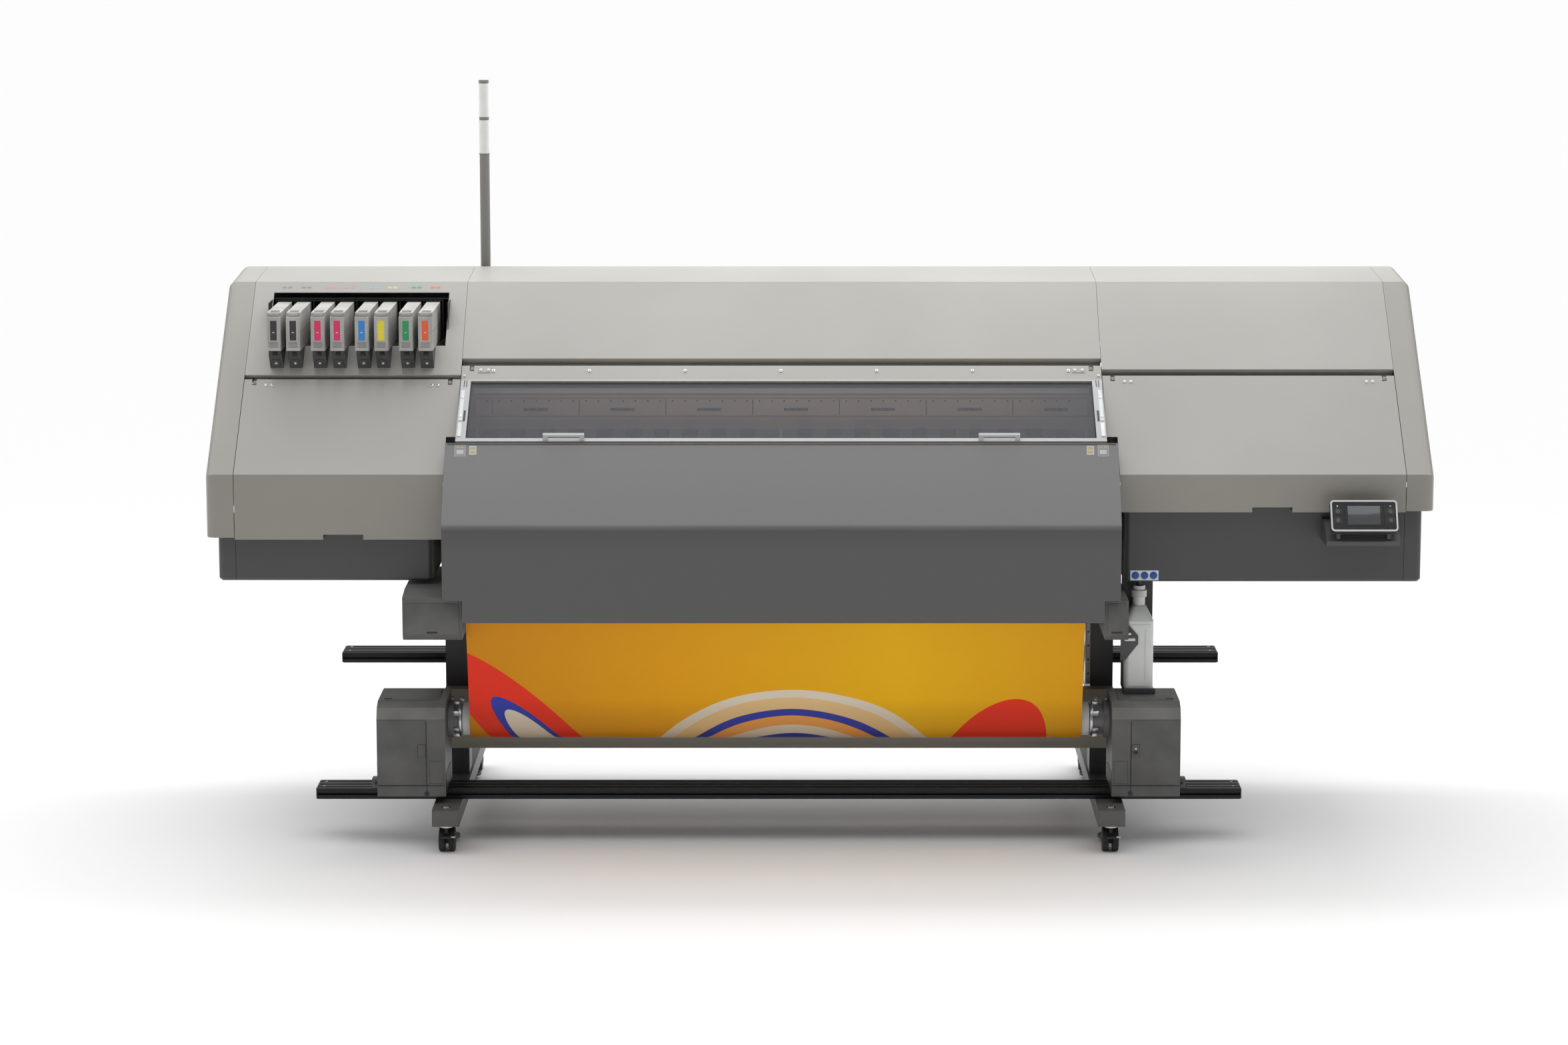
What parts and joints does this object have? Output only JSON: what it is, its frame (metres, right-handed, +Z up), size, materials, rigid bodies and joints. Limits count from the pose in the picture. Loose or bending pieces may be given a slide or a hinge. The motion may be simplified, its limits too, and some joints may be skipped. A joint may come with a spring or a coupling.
{
  "type": "wide-format inkjet printer",
  "caption": "Floor-standing roll-to-roll inkjet printer with a hinged window lid, slide-out ink cartridges, a dark dryer cover, take-up and supply rolls, and a castered stand.",
  "frame": {"origin": "on the floor under the middle of the machine's box", "axes": "+X to the operator's right, +Y to the rear, +Z up; the window lid faces -Y"},
  "size_m": [3.184, 0.946, 1.952],
  "materials": {
    "warm_grey_cover": "satin powder coat, light warm grey",
    "taupe_cover": "satin powder coat, warm taupe grey",
    "dark_shell": "satin charcoal paint",
    "dryer_grey": "satin dark grey paint",
    "housing_grey": "fine-textured dark grey moulding",
    "dark_steel": "satin dark grey paint",
    "black_rail": "black anodised extrusion",
    "rail_aluminium": "brushed and clear anodised",
    "roller_steel": "ground steel shaft",
    "pinch_rubber": "matt rubber tyres on a steel shaft",
    "media_print": "satin printed vinyl, golden yellow",
    "media_paper": "blank white media",
    "lid_white": "satin silver white paint",
    "tinted_pane": "grey tinted clear sheet",
    "cartridge_grey": "light grey moulded plastic",
    "guide_black": "matt charcoal plastic",
    "console_black": "black face with a silver rim",
    "key_grey": "dark grey rubberised key",
    "tower_grey": "grey pole with clear lenses",
    "bottle_clear": "translucent natural polyethylene",
    "tray_steel": "satin dark paint on bent sheet",
    "caster_black": "black nylon with a bright stem",
    "caster_tyre": "black rubber tread"
  },
  "bodies": {
    "root": {"bed_frame": "dark_steel", "bottle_tray": "tray_steel", "capping_station": "guide_black", "cartridge_bay": "guide_black", "cartridge_guides": "guide_black", "cartridge_panel": "warm_grey_cover", "center_top_cover": "warm_grey_cover", "dryer_cover": "dryer_grey", "end_cover_left": "taupe_cover", "end_cover_right": "taupe_cover", "front_rail": "black_rail", "guide_beam": "rail_aluminium", "leg_left": "dark_steel", "leg_right": "dark_steel", "lower_crossbar": "taupe_cover", "lower_shell_left": "dark_shell", "lower_shell_right": "dark_shell", "media_web": "media_print", "panel_base": "dark_shell", "platen": "rail_aluminium", "rear_cover": "warm_grey_cover", "rear_rail": "black_rail", "right_top_cover": "warm_grey_cover", "service_box_left": "housing_grey", "service_box_right": "housing_grey", "signal_tower": "tower_grey", "supply_housings": "housing_grey", "waste_bottle": "bottle_clear"},
    "window_lid": {"window_frame": "lid_white", "window_pane": "tinted_pane"},
    "left_door": {"left_door": "taupe_cover"},
    "right_door": {"right_door": "taupe_cover"},
    "control_panel": {"control_panel": "console_black"},
    "carriage": {"carriage": "guide_black"},
    "feed_roller": {"feed_roller": "roller_steel"},
    "pinch_rollers": {"pinch_rollers": "pinch_rubber"},
    "takeup_housing_left": {"takeup_housing_left": "housing_grey"},
    "takeup_housing_right": {"takeup_housing_right": "housing_grey"},
    "takeup_roll": {"takeup_roll": "media_print"},
    "supply_roll": {"supply_roll": "media_paper"},
    "ink_cartridge_1": {"ink_cartridge_1": "cartridge_grey"},
    "ink_cartridge_2": {"ink_cartridge_2": "cartridge_grey"},
    "ink_cartridge_3": {"ink_cartridge_3": "cartridge_grey"},
    "ink_cartridge_4": {"ink_cartridge_4": "cartridge_grey"},
    "ink_cartridge_5": {"ink_cartridge_5": "cartridge_grey"},
    "ink_cartridge_6": {"ink_cartridge_6": "cartridge_grey"},
    "ink_cartridge_7": {"ink_cartridge_7": "cartridge_grey"},
    "ink_cartridge_8": {"ink_cartridge_8": "cartridge_grey"},
    "panel_key_1": {"panel_key_1": "key_grey"},
    "panel_key_2": {"panel_key_2": "key_grey"},
    "panel_key_3": {"panel_key_3": "key_grey"},
    "panel_key_4": {"panel_key_4": "key_grey"},
    "caster_fork_front_left": {"caster_fork_front_left": "caster_black"},
    "caster_wheels_front_left": {"caster_wheels_front_left": "caster_tyre"},
    "caster_fork_front_right": {"caster_fork_front_right": "caster_black"},
    "caster_wheels_front_right": {"caster_wheels_front_right": "caster_tyre"},
    "caster_fork_rear_left": {"caster_fork_rear_left": "caster_black"},
    "caster_wheels_rear_left": {"caster_wheels_rear_left": "caster_tyre"},
    "caster_fork_rear_right": {"caster_fork_rear_right": "caster_black"},
    "caster_wheels_rear_right": {"caster_wheels_rear_right": "caster_tyre"}
  },
  "joints": [
    {"name": "window_lid_hinge", "type": "hinge", "parent": "root", "child": "window_lid", "pos_m": [-0.1, -0.09031, 1.21813], "axis": [-1, 0, 0], "range_deg": [0, 85]},
    {"name": "left_door_hinge", "type": "hinge", "parent": "root", "child": "left_door", "pos_m": [-1.23, -0.12428, 1.1869], "axis": [-1, 0, 0], "range_deg": [0, 55]},
    {"name": "right_door_hinge", "type": "hinge", "parent": "root", "child": "right_door", "pos_m": [1.13, -0.11529, 1.19516], "axis": [-1, 0, 0], "range_deg": [0, 75]},
    {"name": "control_panel_tilt", "type": "hinge", "parent": "root", "child": "control_panel", "pos_m": [1.398, -0.434, 0.85], "axis": [1, 0, 0], "range_deg": [0, 25]},
    {"name": "panel_key_1_press", "type": "slide", "parent": "control_panel", "child": "panel_key_1", "axis": [0, 0.8746, -0.4848], "range_m": [0, 0.0012], "stiffness_N_per_m": 400},
    {"name": "panel_key_2_press", "type": "slide", "parent": "control_panel", "child": "panel_key_2", "axis": [0, 0.8746, -0.4848], "range_m": [0, 0.0012], "stiffness_N_per_m": 400},
    {"name": "panel_key_3_press", "type": "slide", "parent": "control_panel", "child": "panel_key_3", "axis": [0, 0.8746, -0.4848], "range_m": [0, 0.0012], "stiffness_N_per_m": 400},
    {"name": "panel_key_4_press", "type": "slide", "parent": "control_panel", "child": "panel_key_4", "axis": [0, 0.8746, -0.4848], "range_m": [0, 0.0012], "stiffness_N_per_m": 400},
    {"name": "ink_cartridge_1_pull", "type": "slide", "parent": "root", "child": "ink_cartridge_1", "axis": [0, -1, 0], "range_m": [0, 0.25]},
    {"name": "ink_cartridge_2_pull", "type": "slide", "parent": "root", "child": "ink_cartridge_2", "axis": [0, -1, 0], "range_m": [0, 0.25]},
    {"name": "ink_cartridge_3_pull", "type": "slide", "parent": "root", "child": "ink_cartridge_3", "axis": [0, -1, 0], "range_m": [0, 0.25]},
    {"name": "ink_cartridge_4_pull", "type": "slide", "parent": "root", "child": "ink_cartridge_4", "axis": [0, -1, 0], "range_m": [0, 0.25]},
    {"name": "ink_cartridge_5_pull", "type": "slide", "parent": "root", "child": "ink_cartridge_5", "axis": [0, -1, 0], "range_m": [0, 0.25]},
    {"name": "ink_cartridge_6_pull", "type": "slide", "parent": "root", "child": "ink_cartridge_6", "axis": [0, -1, 0], "range_m": [0, 0.25]},
    {"name": "ink_cartridge_7_pull", "type": "slide", "parent": "root", "child": "ink_cartridge_7", "axis": [0, -1, 0], "range_m": [0, 0.25]},
    {"name": "ink_cartridge_8_pull", "type": "slide", "parent": "root", "child": "ink_cartridge_8", "axis": [0, -1, 0], "range_m": [0, 0.25]},
    {"name": "carriage_travel", "type": "slide", "parent": "root", "child": "carriage", "axis": [1, 0, 0], "range_m": [-1.95, 0]},
    {"name": "feed_roller_turn", "type": "hinge", "parent": "root", "child": "feed_roller", "pos_m": [-0.107, -0.08, 0.973], "axis": [1, 0, 0], "continuous": true},
    {"name": "pinch_rollers_turn", "type": "hinge", "parent": "root", "child": "pinch_rollers", "pos_m": [-0.107, -0.08, 0.9946], "axis": [1, 0, 0], "continuous": true},
    {"name": "takeup_housing_left_slide", "type": "slide", "parent": "root", "child": "takeup_housing_left", "axis": [-1, 0, 0], "range_m": [0, 0.024]},
    {"name": "takeup_housing_right_slide", "type": "slide", "parent": "root", "child": "takeup_housing_right", "axis": [1, 0, 0], "range_m": [0, 0.024]},
    {"name": "takeup_roll_turn", "type": "hinge", "parent": "root", "child": "takeup_roll", "pos_m": [-0.107, -0.29, 0.3195], "axis": [1, 0, 0], "continuous": true},
    {"name": "supply_roll_turn", "type": "hinge", "parent": "root", "child": "supply_roll", "pos_m": [-0.107, 0.33, 0.5], "axis": [1, 0, 0], "continuous": true},
    {"name": "caster_swivel_front_left", "type": "hinge", "parent": "root", "child": "caster_fork_front_left", "pos_m": [-0.97, -0.445, 0.06], "axis": [0, 0, 1], "continuous": true},
    {"name": "caster_roll_front_left", "type": "hinge", "parent": "caster_fork_front_left", "child": "caster_wheels_front_left", "pos_m": [-0.97, -0.425, 0.029], "axis": [1, 0, 0], "continuous": true},
    {"name": "caster_swivel_front_right", "type": "hinge", "parent": "root", "child": "caster_fork_front_right", "pos_m": [0.756, -0.445, 0.06], "axis": [0, 0, 1], "continuous": true},
    {"name": "caster_roll_front_right", "type": "hinge", "parent": "caster_fork_front_right", "child": "caster_wheels_front_right", "pos_m": [0.756, -0.425, 0.029], "axis": [1, 0, 0], "continuous": true},
    {"name": "caster_swivel_rear_left", "type": "hinge", "parent": "root", "child": "caster_fork_rear_left", "pos_m": [-0.97, 0.445, 0.06], "axis": [0, 0, 1], "continuous": true},
    {"name": "caster_roll_rear_left", "type": "hinge", "parent": "caster_fork_rear_left", "child": "caster_wheels_rear_left", "pos_m": [-0.97, 0.425, 0.029], "axis": [1, 0, 0], "continuous": true},
    {"name": "caster_swivel_rear_right", "type": "hinge", "parent": "root", "child": "caster_fork_rear_right", "pos_m": [0.756, 0.445, 0.06], "axis": [0, 0, 1], "continuous": true},
    {"name": "caster_roll_rear_right", "type": "hinge", "parent": "caster_fork_rear_right", "child": "caster_wheels_rear_right", "pos_m": [0.756, 0.425, 0.029], "axis": [1, 0, 0], "continuous": true}
  ],
  "couplings": [
    {"joint": "pinch_rollers_turn", "follows": "feed_roller_turn", "ratio": -1.5}
  ]
}
